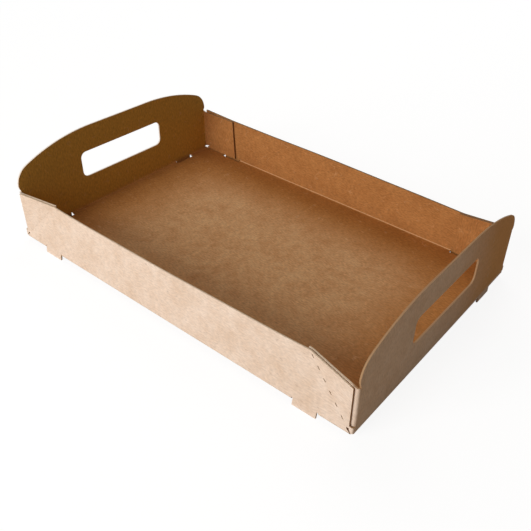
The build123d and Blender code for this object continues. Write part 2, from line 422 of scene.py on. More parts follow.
class Sheet:
    """Patches of one board, each an outer and an inner grid, welded where their outer points meet."""

    def __init__(self, board):
        self.board = board
        self.outer, self.inner, self.cells = [], [], []
        self.count = 0

    def add(self, face, columns, rows, keep=None):
        """Adds the grid of a face: a function of two parameters and a depth under the outer face, which gives
        a place, its two coordinates in the flat blank, and how near it is to a crease."""
        a, b = np.meshgrid(columns, rows, indexing="ij")
        outer, inner = (np.stack(np.broadcast_arrays(*face(a, b, depth)), axis=-1).reshape(-1, 6)
                        for depth in (0.0, self.board))
        index = np.arange(a.size).reshape(a.shape)
        cells = np.stack([index[:-1, :-1], index[1:, :-1], index[1:, 1:], index[:-1, 1:]], axis=-1)
        cells = cells.reshape(-1, 4) if keep is None else cells[keep]
        corners = outer[cells, :3]
        normals = np.cross(corners[:, 2] - corners[:, 0], corners[:, 3] - corners[:, 1])
        outwards = (outer - inner)[cells[:, 0], :3]
        if np.sum(normals * outwards) < 0:
            cells = cells[:, ::-1]
        self.outer.append(outer)
        self.inner.append(inner)
        self.cells.append(cells + self.count)
        self.count += a.size

    def close(self):
        """Vertices with their blank places, faces, and each face's material number: the outer grids, the
        inner grids turned over, and a rim along every open edge."""
        outer, inner = np.concatenate(self.outer), np.concatenate(self.inner)
        cells = np.concatenate(self.cells)
        keys = np.round(outer[:, :3] / SAME_PLACE + WELD_SHIFT_SHARE).astype(np.int64)
        _, weld = np.unique(keys, axis=0, return_inverse=True)
        weld = weld.ravel()
        used, cells = np.unique(weld[cells], return_inverse=True)
        cells = cells.reshape(-1, 4)
        together = np.bincount(weld)
        outer, inner = (np.stack([np.bincount(weld, values) / together for values in grid.T], axis=1)[used]
                        for grid in (outer, inner))
        count = len(used)
        start, stop = cells.ravel(), np.roll(cells, -1, axis=1).ravel()
        open_edge = ~np.isin(start * count + stop, stop * count + start)
        start, stop = start[open_edge], stop[open_edge]
        rim = np.stack([stop, start, start + count, stop + count], axis=1)
        faces = np.concatenate([cells, cells[:, ::-1] + count, rim])
        numbers = np.repeat([0, 1, 2], [len(cells), len(cells), len(rim)])
        return np.concatenate([outer, inner]), faces, numbers


def floor_face(x, y, depth):
    """The floor: flat, its underside at height zero."""
    return x, y, depth, x, y, 0.0


def fold_arc(tray, centre, slope, angle, depth):
    """Section of a floor fold: an arc about the fold's axis, whose inner side has a low bead. Gives the
    distance from the middle, the height, the distance in the flat blank, and a share that is one at the
    arc's middle."""
    radius = tray.fold_radius
    share = (angle + QUARTER_TURN) / (math.atan(slope) + QUARTER_TURN)
    middle = np.sin(math.pi * share)
    reach = radius - depth - tray.crease_bead * middle ** 2 * (depth > 0)
    flat = centre + radius * (angle + QUARTER_TURN)
    return centre + reach * np.cos(angle), radius + reach * np.sin(angle), flat, middle


def side_fold(tray, side):
    """Fold between the floor and a long wall: the fold's arc, drawn out along X."""
    def face(x, angle, depth):
        y, z, v, middle = fold_arc(tray, side_fold_centre(tray, side), side_slope(tray, side), angle, depth)
        # The crease share is full at the fold's middle, so the pale inner crease tone paints a highlight along
        # it
        return x, side * y, z, x, side * v, middle
    return face


def end_fold(tray, end):
    """Fold between the floor and an end wall: the fold's arc, drawn out along Y."""
    def face(y, angle, depth):
        x, z, u, middle = fold_arc(tray, end_fold_centre(tray, end), end_slope(tray, end), angle, depth)
        return end * x, y, z, end * u, y, END_BREAK_SHARE * middle
    return face


def side_point(tray, side, x, z, depth):
    """A long wall's point at a height: its face's lean, its corner's fall, and the depth along the main
    panel's normal."""
    slope = side_slope(tray, side)
    lean = math.atan(slope)
    y = tray.tray_width / 2 - wall_lean(tray, side, x, z) - depth * math.cos(lean)
    v = blank_reach(side_fold_centre(tray, side), tray.fold_radius, slope, z)
    z_at_depth = np.maximum(z - panel_fall(tray, side, x, z) - depth * math.sin(lean), -tray.foot_drop)
    return x, side * y, z_at_depth, x, side * v, crease_nearness(tray, side, x, z)


def end_point(tray, end, y, z, depth):
    """An end wall's point at a height: its face's lean, and the depth along its normal."""
    lean = math.atan(end_slope(tray, end))
    x = end_face_x(tray, end, z) - depth * math.cos(lean)
    z_at_depth = np.maximum(z - depth * math.sin(lean), -tray.foot_drop)
    return end * x, y, z_at_depth, end * end_blank_reach(tray, end, z), y, 0.0


def main_panel(tray, side):
    """A long wall's main panel: upright columns in the middle, which slant more and more towards each end
    until the last one lies on the crease."""
    def face(foot_x, z, depth):
        x = foot_x
        for end in ENDS:
            start = end_fold_centre(tray, end)
            weight = np.clip((end * foot_x - (start - SLANT_BAND - SLANT_FADE)) / SLANT_FADE, 0, 1)
            x = x - end * weight * (start - crease_x(tray, side, end, z))
        return side_point(tray, side, x, z, depth)
    return face


def corner_panel(tray, side, end):
    """The panel past a slanting crease: columns that fan out from the crease to the wall's free end."""
    def face(share, z, depth):
        crease = crease_x(tray, side, end, z)
        return side_point(tray, side, end * (crease + share * (free_end(tray, end, z) - crease)), z, depth)
    return face


def root_x(tray, end, z):
    """Distance along X of the axis of the corner under a free end from the middle."""
    return end_face_x(tray, end, z) - tray.root_round


def root_y(tray, side, end, z):
    """Distance along Y of the axis of the corner under a free end from the middle."""
    return tray.tray_width / 2 - wall_lean(tray, side, end * root_x(tray, end, z), z) - tray.root_round


def root_panel(tray, side, end):
    """The foot of a corner panel, which runs on past the free end: columns from the crease to the corner."""
    def face(share, z, depth):
        crease = crease_x(tray, side, end, z)
        return side_point(tray, side, end * (crease + share * (root_x(tray, end, z) - crease)), z, depth)
    return face


def root_shares(tray, side, end, panel_shares):
    """Columns of a corner panel's foot: those of the panel over it, and three more past the free end."""
    crease = crease_x(tray, side, end, tray.end_root)
    corner = root_x(tray, end, tray.end_root)
    reach_share = (free_end(tray, end, tray.end_root) - crease) / (corner - crease)
    return np.append(panel_shares * reach_share, np.linspace(reach_share, 1, 4)[1:])


def root_corner(tray, side, end):
    """The corner under a free end: a quarter turn from the end wall to the long wall."""
    def face(angle, z, depth):
        x_axis, y_axis = root_x(tray, end, z), root_y(tray, side, end, z)
        reach = tray.root_round - depth
        x, y = end * (x_axis + reach * np.cos(angle)), side * (y_axis + reach * np.sin(angle))
        v = blank_reach(y_axis, tray.root_round, 0.0, z)
        return x, y, z, x, side * v, CORNER_BREAK_SHARE * np.sin(2 * angle)
    return face


def root_end(tray, side, end):
    """The end wall's foot outside its corner fold: columns from the fold to the corner under the free end."""
    def face(share, z, depth):
        fold, corner = corner_edge(tray, end, side, z), root_y(tray, side, end, z)
        return end_point(tray, end, side * (fold + share * (corner - fold)), z, depth)
    return face


def flap_inset(tray, share):
    """Distance of a flap's outer face inside the long wall's: the board, the gap, and a lift that grows with
    the square of the share of the flap's length."""
    return tray.board + tray.layer_gap + tray.flap_lift * share ** 2


def flap_height(tray, end, side, reach, z, share=1.0):
    """Height of a flap's point: a flap is square to its end wall, so where that wall leans out, the flap's
    top edge falls towards the corner, and it falls at least as far as the long wall's beside it. The rows
    under it fall by their share of the height over the free end's root."""
    lean_fall = share * max(-end_slope(tray, end), 0) * tray.flap_length
    fall = np.maximum(lean_fall, corner_fall(tray, side, end)) * (1 - reach / tray.flap_length)
    return z - fall * over_root(tray, z)


def corner_edge(tray, end, side, z):
    """Distance of an upright corner fold's start from the end wall's middle."""
    x = end * (end_face_x(tray, end, z) - tray.fold_radius)
    return tray.tray_width / 2 - flap_inset(tray, 0) - wall_lean(tray, side, x, z) - tray.fold_radius


def corner_foot(tray, side):
    """Distance of an upright corner fold from the end wall's middle where it meets the floor fold."""
    return tray.tray_width / 2 - flap_inset(tray, 0) - (1 + side_slope(tray, side)) * tray.fold_radius


def corner_fold(tray, end, side):
    """Upright fold between an end wall and its flap: a quarter turn about an upright axis."""
    def face(angle, z, depth):
        z = flap_height(tray, end, side, tray.fold_radius, z, angle / QUARTER_TURN)
        x_axis, y_axis = end_face_x(tray, end, z) - tray.fold_radius, corner_edge(tray, end, side, z)
        reach = tray.fold_radius - depth
        x, y = x_axis + reach * np.cos(angle), y_axis + reach * np.sin(angle)
        v = y_axis + tray.fold_radius * angle
        return end * x, side * y, z, end * end_blank_reach(tray, end, z), side * v, 0.0
    return face


def glue_flap(tray, end, side):
    """Flap along the inside of a long wall: the wall's face moved inwards by the flap's inset."""
    def face(reach, z, depth):
        z = flap_height(tray, end, side, reach, z)
        share = (reach - tray.fold_radius) / (tray.flap_length - tray.fold_radius)
        x = end * (end_face_x(tray, end, z) - reach)
        y = tray.tray_width / 2 - flap_inset(tray, share) - wall_lean(tray, side, x, z) - depth
        v = corner_edge(tray, end, side, z) + tray.fold_radius * (QUARTER_TURN - 1) + reach
        return x, side * y, z, end * end_blank_reach(tray, end, z), side * v, 0.0
    return face


def arch_outline(tray):
    """Half of an end wall's arch from the far shoulder to the top's middle: a shoulder arc and a crown arc
    that meet without a corner, and half of the flat top."""
    half = tray.tray_width / 2 - flap_inset(tray, 0) - tray.shoulder_inset
    low = tray.side_height + tray.shoulder_rise
    rise, shoulder = tray.end_height - low, tray.shoulder_radius
    reach = half - shoulder - tray.arch_flat / 2
    crown = (reach ** 2 + rise ** 2 - shoulder ** 2) / (2 * (rise - shoulder))
    crown_low = tray.end_height - crown
    turn = math.degrees(math.atan2(low - crown_low, reach))
    shoulder_arc = arc((half - shoulder, low), shoulder, 0, turn, SHOULDER_POINTS)
    crown_arc = arc((tray.arch_flat / 2, crown_low), crown, turn, 90, CROWN_POINTS)
    return np.concatenate([shoulder_arc, crown_arc[1:], [[0, tray.end_height]]])


def hole_quarters(tray):
    """The hand hole's outline in four runs, each from the middle of one rounded corner to the next: bottom,
    far side, top, near side."""
    y = tray.hole_length / 2 - tray.hole_corner
    z = tray.hole_height / 2 - tray.hole_corner
    centres = tray.hole_centre * np.array([0, 1]) + np.array([[-y, -z], [y, -z], [y, z], [-y, z]])
    runs = []
    for turn in range(4):
        corners = ((centres[turn], 225 + 90 * turn), (centres[(turn + 1) % 4], 270 + 90 * turn))
        arcs = [arc(at, tray.hole_corner, start, start + 45, HOLE_CORNER_POINTS) for at, start in corners]
        runs.append(np.concatenate(arcs))
    return runs


def end_wall(tray, end, floor_rows, flap_rows):
    """An end wall as a ring: straight lines from the hand hole's outline to the wall's outline, and how many
    lines there are."""
    low = fold_top(tray.fold_radius, end_slope(tray, end))
    bottom = np.stack([floor_rows, np.full_like(floor_rows, low)], axis=1)

    def upright(side):
        heights = flap_height(tray, end, side, tray.fold_radius, flap_rows, 0.0)
        edge = np.stack([side * corner_edge(tray, end, side, heights), heights], axis=1)
        return np.concatenate([bottom[-1:] if side == FAR else bottom[:1], edge])

    half = arch_outline(tray)
    over = np.concatenate([upright(FAR)[-1:], half, half[-2::-1] * (-1, 1), upright(NEAR)[-1:]])
    count = math.ceil(steps_along(over).sum() / (tray.cell * ARCH_CELL_SHARE))
    over = resample(over, np.linspace(0, 1, count))
    outer_runs = [bottom, upright(FAR), over, upright(NEAR)[::-1]]
    inner_runs = [resample(run, length_shares(outer)) for run, outer in zip(hole_quarters(tray), outer_runs)]
    outline, hole = (np.concatenate([*(run[:-1] for run in runs), runs[0][:1]])
                     for runs in (outer_runs, inner_runs))

    def face(line, share, depth):
        line = line.astype(int)
        y, z = ((1 - share) * hole[line, axis] + share * outline[line, axis] for axis in (0, 1))
        return end_point(tray, end, y, z, depth)
    return face, len(outline)


def foot_ranges(tray, half_size):
    """Where the two foot tabs of a wall lie along it."""
    inner = half_size - tray.foot_inset - tray.foot_width
    outer = half_size - tray.foot_inset
    return [(-outer, -inner), (inner, outer)]


def end_foot_ranges(tray, end):
    """Foot tabs of an end wall; on the right end wall the near one lies flat in the floor."""
    ranges = foot_ranges(tray, tray.tray_width / 2)
    return ranges if end == LEFT else ranges[1:]


def slots_of(tray, ranges):
    """Where the slots of foot tabs lie along a wall."""
    return [(low - tray.slot_clearance, high + tray.slot_clearance) for low, high in ranges]


def side_slots(tray, side):
    """Slots of a long wall's foot tabs; the far wall's right one has closed up at its inner end."""
    feet = foot_ranges(tray, tray.tray_length / 2)
    left, right = slots_of(tray, feet)
    return [left, right] if side == NEAR else [left, (feet[1][0], right[1])]


def slot_edge(tray, half_size):
    """Distance of the slots' inner edge from the middle."""
    return half_size - (tray.foot_drop + tray.board)


def floor_marks(tray):
    """Grid lines that the floor needs along X and along Y, for its folds, slots and cuts."""
    half_length, half_width = tray.tray_length / 2, tray.tray_width / 2
    x_marks = [slot_edge(tray, half_length) + tray.kerf]
    flat_low, flat_high = foot_ranges(tray, half_width)[0]
    y_marks = [flat_low + tray.kerf, flat_high - tray.kerf]
    for end in ENDS:
        start = end_fold_centre(tray, end)
        kerf = tray.kerf if end == RIGHT else tray.closed_kerf
        places = (start, start - kerf, start - 3 * kerf, slot_edge(tray, half_length))
        x_marks += [end * place for place in places]
    for side in SIDES:
        places = (side_fold_centre(tray, side), slot_edge(tray, half_width), corner_foot(tray, side))
        y_marks += [side * place for place in places]
    for marks, half_size in ((x_marks, half_length), (y_marks, half_width)):
        feet = foot_ranges(tray, half_size)
        marks += np.ravel([feet, slots_of(tray, feet)]).tolist()
    return fill_in(x_marks, tray.cell), fill_in(y_marks, tray.cell)


def floor_kept(tray, x, y):
    """Cells of the floor that are left between the slots that the foot tabs were cut from."""
    x, y = np.meshgrid(middles(x), middles(y), indexing="ij")
    x_edge, y_edge = slot_edge(tray, tray.tray_length / 2), slot_edge(tray, tray.tray_width / 2)
    slots = np.zeros(x.shape, bool)
    for side in SIDES:
        slots |= in_ranges(x, side_slots(tray, side)) & (side * y > y_edge)
    for end in ENDS:
        slots |= in_ranges(y, slots_of(tray, end_foot_ranges(tray, end))) & (end * x > x_edge)
    # The tab that lies flat is parted from the floor by a kerf on three sides
    low, high = foot_ranges(tray, tray.tray_width / 2)[0]
    slots |= (x > x_edge) & in_ranges(y, [(low, low + tray.kerf), (high - tray.kerf, high)])
    slots |= in_ranges(x, [(x_edge, x_edge + tray.kerf)]) & in_ranges(y, [(low, high)])
    return ~slots


def root_rows(tray):
    """Heights of the grid under the free ends, which the walls and the flaps share."""
    low = tray.board + tray.flap_floor_gap
    return fill_in([low, tray.relief_height, tray.slit_top, tray.end_root], ROOT_STEP)


def wall_rows(tray, side):
    """Heights of a long wall's grid, with the ends of the crease's cuts among them, and the cuts' ranges."""
    low = fold_top(tray.fold_radius, side_slope(tray, side))
    rise = tray.side_height - low
    run = math.hypot(tray.crease_run, rise)
    centres = np.arange(tray.dash_first, run - tray.dash / 2, tray.dash_pitch)
    ranges = [tuple(low + rise / run * (centre + np.array([-1, 1]) * tray.dash / 2)) for centre in centres]
    marks = [low, *root_rows(tray), tray.side_height, *np.ravel(ranges)]
    return fill_in(marks, tray.cell), ranges


def beside_slots(places, slots):
    """Cells of a floor fold that are left beside the slots: whole columns of them."""
    return np.repeat(~in_ranges(middles(places), slots)[:, None], FOLD_POINTS - 1, axis=1)


def add_corner(sheet, tray, side, end, panel_rows):
    """Adds the panel past a slanting crease, its foot, and the corner from that foot to the end wall."""
    shares = fill_in([0, PANEL_FIRST_SHARE, 1], PANEL_STEP_SHARE)
    sheet.add(corner_panel(tray, side, end), shares, panel_rows)
    low_rows = np.append(fold_top(tray.fold_radius, end_slope(tray, end)), root_rows(tray))
    if side == FAR:
        low_rows = within(low_rows, tray.relief_height)
    columns = root_shares(tray, side, end, shares)
    share, height = np.meshgrid(middles(columns), middles(low_rows), indexing="ij")
    slit = (share < SLIT_SHARE) & (height < tray.slit_top)
    sheet.add(root_panel(tray, side, end), columns, low_rows, ~slit)
    sheet.add(root_corner(tray, side, end), np.linspace(0, QUARTER_TURN, FOLD_POINTS), low_rows)
    sheet.add(root_end(tray, side, end), np.linspace(0, 1, 3), low_rows)


def add_long_wall(sheet, tray, side, x):
    """Adds a long wall: its floor fold, main panel, foot tabs and corners."""
    angles = np.linspace(-QUARTER_TURN, math.atan(side_slope(tray, side)), FOLD_POINTS)
    kept = beside_slots(x, side_slots(tray, side))
    # The slit runs down into the fold
    kept[[0, -1], FOLD_POINTS // 2:] = False
    sheet.add(side_fold(tray, side), x, angles, kept)
    rows, dashes = wall_rows(tray, side)
    kept = np.ones((len(x) - 1, len(rows) - 1), bool)
    kept[[0, -1]] = ~in_ranges(middles(rows), dashes) & (middles(rows) > tray.slit_top)
    sheet.add(main_panel(tray, side), x, rows, kept)
    tab_rows = np.linspace(-tray.foot_drop, rows[0], TAB_POINTS)
    for low, high in foot_ranges(tray, tray.tray_length / 2):
        sheet.add(partial(side_point, tray, side), within(x, low, high), tab_rows)
    for end in ENDS:
        add_corner(sheet, tray, side, end, within(rows, tray.end_root))


def add_end_wall(sheet, tray, end, y):
    """Adds an end wall: its floor fold, arched face, foot tabs, corner folds and glue flaps."""
    slope = end_slope(tray, end)
    feet = end_foot_ranges(tray, end)
    angles = np.linspace(-QUARTER_TURN, math.atan(slope), FOLD_POINTS)
    sheet.add(end_fold(tray, end), y, angles, beside_slots(y, slots_of(tray, feet)))
    flap_cell = tray.cell * FLAP_CELL_SHARE
    flap_rows = fill_in([*root_rows(tray), tray.side_height - tray.flap_drop], flap_cell)
    between = within(y, -corner_foot(tray, NEAR), corner_foot(tray, FAR))
    wall, lines = end_wall(tray, end, between, flap_rows)
    sheet.add(wall, np.arange(lines), np.linspace(0, 1, RING_POINTS))
    tab_rows = np.linspace(-tray.foot_drop, fold_top(tray.fold_radius, slope), TAB_POINTS)
    for low, high in feet:
        sheet.add(partial(end_point, tray, end), within(y, low, high), tab_rows)
    turns, above_root = np.linspace(0, QUARTER_TURN, FOLD_POINTS), within(flap_rows, tray.end_root)
    reaches = fill_in([tray.fold_radius, tray.flap_clip, tray.flap_length], flap_cell)
    reach, height = np.meshgrid(middles(reaches), middles(flap_rows), indexing="ij")
    clipped = (reach < tray.flap_clip) & (height < tray.slit_top)
    for side in SIDES:
        sheet.add(corner_fold(tray, end, side), turns, above_root)
        sheet.add(glue_flap(tray, end, side), reaches, flap_rows, ~clipped)


def bowed(tray, points):
    """The board's slight unevenness: slow waves that lift the floor between its folds and push the long walls
    in and out towards their tops, and a bow of each end wall that grows with the height and falls to zero at
    its corners."""
    x, y, z = points.T[:3]
    half_length, half_width = tray.tray_length / 2, tray.tray_width / 2
    inside = np.clip(1 - (x / half_length) ** 2, 0, 1) * np.clip(1 - (y / half_width) ** 2, 0, 1)
    waves = sum(share * np.sin(by_x * x + by_y * y + start) for share, by_x, by_y, start in FLOOR_WAVES)
    low = np.clip(1 - np.abs(z - tray.board / 2) / (2 * tray.board), 0, 1)
    lift = tray.bow * low * inside * (FLOOR_SWELL_SHARE + waves)
    by_side = np.clip((np.abs(y) - half_width + WALL_BAND) / WALL_FADE, 0, 1)
    height = np.clip(z / tray.side_height, 0, 1)
    sway = tray.bow * by_side * height * np.clip(1 - (x / half_length) ** 4, 0, 1)
    sway = sway * sum(share * np.sin(by_x * x + start + change * np.sign(y))
                      for share, by_x, start, change in WALL_WAVES)
    by_end = np.clip((np.abs(x) - half_length + WALL_BAND) / WALL_FADE, 0, 1)
    across = np.clip(y / half_width, -1, 1)
    nod = by_end * z / tray.end_height * (1 - across ** 2)
    nod = nod * np.where(x < 0, tray.left_bow + tray.left_skew * across, tray.right_bow)
    moved = points.copy()
    moved[:, :3] += np.stack([nod, sway, lift], axis=1)
    return moved


def folded_sheet(tray):
    """The whole folded board as vertices, faces and material numbers."""
    sheet = Sheet(tray.board)
    x, y = floor_marks(tray)
    sheet.add(floor_face, x, y, floor_kept(tray, x, y))
    for side in SIDES:
        add_long_wall(sheet, tray, side, x)
    for end in ENDS:
        add_end_wall(sheet, tray, end, y)
    points, faces, numbers = sheet.close()
    return bowed(tray, points), faces, numbers


def floor_middle(tray):
    """Place of the middle of the floor's underside, with the feet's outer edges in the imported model's box."""
    low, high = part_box(NODE)
    x = high.x - tray.tray_length / 2 - end_slope(tray, RIGHT) * tray.foot_drop
    y = low.y + tray.tray_width / 2 + side_slope(tray, NEAR) * tray.foot_drop
    return np.array([x, y, low.z + tray.foot_drop])


def add_node(tree, kind, settings=None, inputs=None):
    """Adds a shader node, sets its own settings, sets or links its inputs, and gives its outputs."""
    made = tree.nodes.new(kind)
    for name, value in (settings or {}).items():
        setattr(made, name, value)
    for key, value in (inputs or {}).items():
        if isinstance(value, bpy.types.NodeSocket):
            tree.links.new(value, made.inputs[key])
        else:
            made.inputs[key].default_value = value
    return made.outputs


def new_material(name):
    """A material and its empty node tree."""
    made = bpy.data.materials.new(name)
    made.use_nodes = True
    made.node_tree.nodes.clear()
    return made, made.node_tree


def opaque(rgb):
    """The colour with full cover."""
    return (*rgb, 1.0)


def zone_share(tree, across, zone):
    """How much of a zone's tone a place in the blank takes: its share, faded out along X and along Y."""
    share, spans = zone
    for axis, (middle, faded, full) in zip("XY", spans):
        off = add_node(tree, "ShaderNodeMath", SUBTRACT, {0: across[axis], 1: middle * MM})[0]
        off = add_node(tree, "ShaderNodeMath", ABSOLUTE, {0: off})[0]
        inside = add_node(tree, "ShaderNodeMapRange", SMOOTH, {0: off, 1: faded * MM, 2: full * MM})[0]
        share = add_node(tree, "ShaderNodeMath", MULTIPLY, {0: inside, 1: share})[0]
    return share


def pale_hairs(tree, lines, gaps):
    """Share of pale hairs: they follow lines of equal height of one noise, and stop where another is low."""
    off = add_node(tree, "ShaderNodeMath", SUBTRACT, {0: lines, 1: 0.5})[0]
    off = add_node(tree, "ShaderNodeMath", ABSOLUTE, {0: off})[0]
    hair = add_node(tree, "ShaderNodeMapRange", inputs={0: off, 1: 0.0, 2: 0.02, 3: 1.0, 4: 0.0})[0]
    seen = add_node(tree, "ShaderNodeMapRange", inputs={0: gaps, 1: 0.58, 2: 0.66, 4: 0.22})[0]
    return add_node(tree, "ShaderNodeMath", MULTIPLY, {0: hair, 1: seen})[0]


def liner_tints(finish, face, painted_light, fold_shade):
    """Colours of the outer or the inner liner, with those of the painted light on its floor's middle and of
    the painted shade along its folds.
    """
    tints = {part: getattr(finish, f"{face}_{part}") for part in ("light", "dark", "end_shade", "crease")}
    return {**tints, "painted_light": painted_light, "fold_shade": fold_shade, "speck": finish.speck}


def kraft_liner(name, nap, tints, end_shade_zone):
    """Uncoated kraft liner, formed on a wire and dried on drums: fibres of 1 to 3 mm lie mostly one way, with
    soft clouds where the pulp is thicker, a few pale hairs and a few dark shives. Painted light and sheen
    make the middle of the floor paler, painted shade deepens it along the folds, and one end wall takes a
    painted shade tone. Creasing breaks the fibres along the folds, and inside the long walls' floor folds
    the pale crease tone also paints a highlight. It is matt, with a fine nap that shows in raking light."""
    material, tree = new_material(name)
    place = add_node(tree, "ShaderNodeAttribute", {"attribute_name": "blank_place"})["Vector"]
    along = add_node(tree, "ShaderNodeMapping", inputs={"Vector": place, "Scale": (0.4, 1, 1)})[0]
    # Sizes in millimetres; the fibres are drawn at about twice their real width, so that they show
    patterns = {"clouds": (place, 34, 5), "mottle": (place, 9, 4), "fibres": (along, 1.4, 3),
                "shives": (along, 2.6, 1), "hairs": (place, 13, 1), "gaps": (place, 8, 0)}
    grain = {}
    for title, (source, size, detail) in patterns.items():
        inputs = {"Vector": source, "Scale": 1 / (size * MM), "Detail": detail}
        grain[title] = add_node(tree, "ShaderNodeTexNoise", inputs=inputs)[0]
    across = add_node(tree, "ShaderNodeSeparateXYZ", inputs={0: place})
    # Shares of the painted light on the floor's middle, of the floor, and of the end wall's painted shade tone
    painted_light, floor, end_shade = (zone_share(tree, across, zone) for zone in (PAINTED_LIGHT_ZONE, FLOOR_ZONE, end_shade_zone))
    # Both noises lie about one half, and the start brings their weighted sum there too
    blend = -0.45
    for title, weight in (("clouds", 1.0), ("mottle", 0.9)):
        blend = add_node(tree, "ShaderNodeMath", MULTIPLY_ADD, {0: grain[title], 1: weight, 2: blend})[0]
    # Painted light and sheen over the floor's middle, mottled by the clouds
    light_pool_share = add_node(tree, "ShaderNodeMath", MULTIPLY_ADD, {0: blend, 1: 0.9, 2: 0.2})[0]
    light_pool_share = add_node(tree, "ShaderNodeMath", MULTIPLY, {0: light_pool_share, 1: painted_light})[0]
    # Painted shade on the rest of the floor, along its folds
    fold_shade_share = add_node(tree, "ShaderNodeMapRange", inputs={0: painted_light, 3: 1.0, 4: 0.0})[0]
    fold_shade_share = add_node(tree, "ShaderNodeMath", MULTIPLY, {0: fold_shade_share, 1: floor})[0]
    hair = pale_hairs(tree, grain["hairs"], grain["gaps"])
    shive = add_node(tree, "ShaderNodeMapRange", inputs={0: grain["shives"], 1: 0.68, 2: 0.76, 4: 0.2})[0]
    # Pale broken fibre along the creases, which inside the long walls' floor folds also paints a highlight
    fold = add_node(tree, "ShaderNodeAttribute", {"attribute_name": "crease"})["Fac"]
    broken = add_node(tree, "ShaderNodeMapRange", SMOOTH, {0: fold, 1: 0.35, 2: 1.0, 4: 0.85})[0]
    tint = opaque(tints["dark"])
    for share, title in ((blend, "light"), (fold_shade_share, "fold_shade"), (end_shade, "end_shade"), (light_pool_share, "painted_light"),
                         (hair, "crease"), (shive, "speck"), (broken, "crease")):
        over = opaque(tints[title])
        tint = add_node(tree, "ShaderNodeMix", MIX_COLOURS, {0: share, 6: tint, 7: over})[2]
    lit = add_node(tree, "ShaderNodeMath", MULTIPLY_ADD, {0: grain["fibres"], 1: nap, 2: 1 - nap / 2})[0]
    shaded = {**MIX_COLOURS, "blend_type": "MULTIPLY"}
    tint = add_node(tree, "ShaderNodeMix", shaded, {0: 1.0, 6: tint, 7: lit})[2]
    bump = add_node(tree, "ShaderNodeBump", inputs={
        "Height": grain["fibres"], "Strength": 0.4 * nap, "Distance": 0.15 * MM})[0]
    shader = add_node(tree, "ShaderNodeBsdfPrincipled", inputs={
        "Base Color": tint, "Roughness": 0.82, "IOR": 1.45, "Specular IOR Level": 0.3, "Normal": bump})[0]
    add_node(tree, "ShaderNodeOutputMaterial", inputs={"Surface": shader})
    return material


def cut_edge(name, finish):
    """Die-cut edge of the board: torn fibre ends with no gloss at all, pale along the outer liner and the
    flute and brown at the inner liner. It is pale on the left end wall; painted shade makes it darker away
    from the lit near long wall, and greys it on the right end wall, which stands in shade."""
    material, tree = new_material(name)
    place = add_node(tree, "ShaderNodeTexCoord")["Object"]
    torn = add_node(tree, "ShaderNodeTexNoise", inputs={
        "Vector": place, "Scale": 1 / (1.2 * MM), "Detail": 3})[0]
    depth = add_node(tree, "ShaderNodeAttribute", {"attribute_name": "depth"})["Fac"]
    ragged = add_node(tree, "ShaderNodeMath", MULTIPLY_ADD, {0: torn, 1: 0.5, 2: depth})[0]
    along = add_node(tree, "ShaderNodeSeparateXYZ", inputs={0: place})
    # What each tone follows, where it starts and where it is full
    tones = ((ragged, 0.95, 1.35, finish.edge_inner),
             # Painted shade away from the lit near wall
             (along["Y"], -100 * MM, -60 * MM, finish.edge_far_shade),
             (along["X"], -193 * MM, -196 * MM, finish.edge_pale),
             # Painted shade on the shaded right end wall
             (along["X"], 193 * MM, 196 * MM, finish.edge_right_shade))
    tint = opaque(finish.edge_outer)
    for value, start, full, over in tones:
        share = add_node(tree, "ShaderNodeMapRange", inputs={0: value, 1: start, 2: full})[0]
        tint = add_node(tree, "ShaderNodeMix", MIX_COLOURS, {0: share, 6: tint, 7: opaque(over)})[2]
    bump = add_node(tree, "ShaderNodeBump", inputs={"Height": torn, "Strength": 0.5, "Distance": 0.2 * MM})[0]
    shader = add_node(tree, "ShaderNodeBsdfPrincipled", inputs={
        "Base Color": tint, "Roughness": 0.95, "Specular IOR Level": 0.15, "Normal": bump})[0]
    add_node(tree, "ShaderNodeOutputMaterial", inputs={"Surface": shader})
    return material


class TRAY_OT_fold_board(bpy.types.Operator):
    """Fold the tray from its blank and put it in place of the plain solid"""
    bl_idname = "tray.fold_board"
    bl_label = "Fold Board"

    def execute(self, context):
        tray, finish = context.scene.tray_sizes, context.scene.board_finish
        points, faces, numbers = folded_sheet(tray)
        places = points[:, :3] + floor_middle(tray)
        mesh = bpy.data.meshes.new("folded_kraft_board")
        mesh.from_pydata(places.tolist(), [], faces.tolist())
        mesh.polygons.foreach_set("material_index", numbers.astype(np.int32))
        mesh.polygons.foreach_set("use_smooth", np.ones(len(faces), bool))
        mesh.set_sharp_from_angle(angle=SHARP_ANGLE)
        blank = mesh.attributes.new("blank_place", "FLOAT_VECTOR", "POINT")
        flat = np.stack([points[:, 3], points[:, 4], np.zeros(len(points))], axis=1)
        blank.data.foreach_set("vector", flat.astype(np.float32).ravel())
        shares = {"crease": points[:, 5], "depth": np.repeat([0.0, 1.0], len(points) // 2)}
        for name, values in shares.items():
            held = mesh.attributes.new(name, "FLOAT", "POINT")
            held.data.foreach_set("value", values.astype(np.float32))
        if mesh.validate():
            raise RuntimeError("the folded board has faces that overlap or repeat")
        outer = liner_tints(finish, "outer", finish.outer_light, finish.outer_light)
        # The inner liner's floor takes painted light over its middle and painted shade along its folds
        inner = liner_tints(finish, "inner", finish.painted_light, finish.fold_shade)
        # Each liner takes a painted shade tone on one end wall
        mesh.materials.append(kraft_liner("outer_kraft_liner", OUTER_NAP, outer, RIGHT_END_SHADE_ZONE))
        mesh.materials.append(kraft_liner("inner_kraft_liner", INNER_NAP, inner, LEFT_END_SHADE_ZONE))
        mesh.materials.append(cut_edge("die_cut_board_edge", finish))
        board = bpy.data.objects.new("folded_kraft_board", mesh)
        context.scene.collection.objects.link(board)
        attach(board, "root")
        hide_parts(NODE)
        return {"FINISHED"}


def seen_rays(tree):
    """One for rays that the eye follows: straight from the camera, or by way of gloss or glass."""
    path = add_node(tree, "ShaderNodeLightPath")
    seen = path["Is Camera Ray"]
    for name in ("Is Glossy Ray", "Is Transmission Ray"):
        seen = add_node(tree, "ShaderNodeMath", MAXIMUM, {0: seen, 1: path[name]})[0]
    return seen


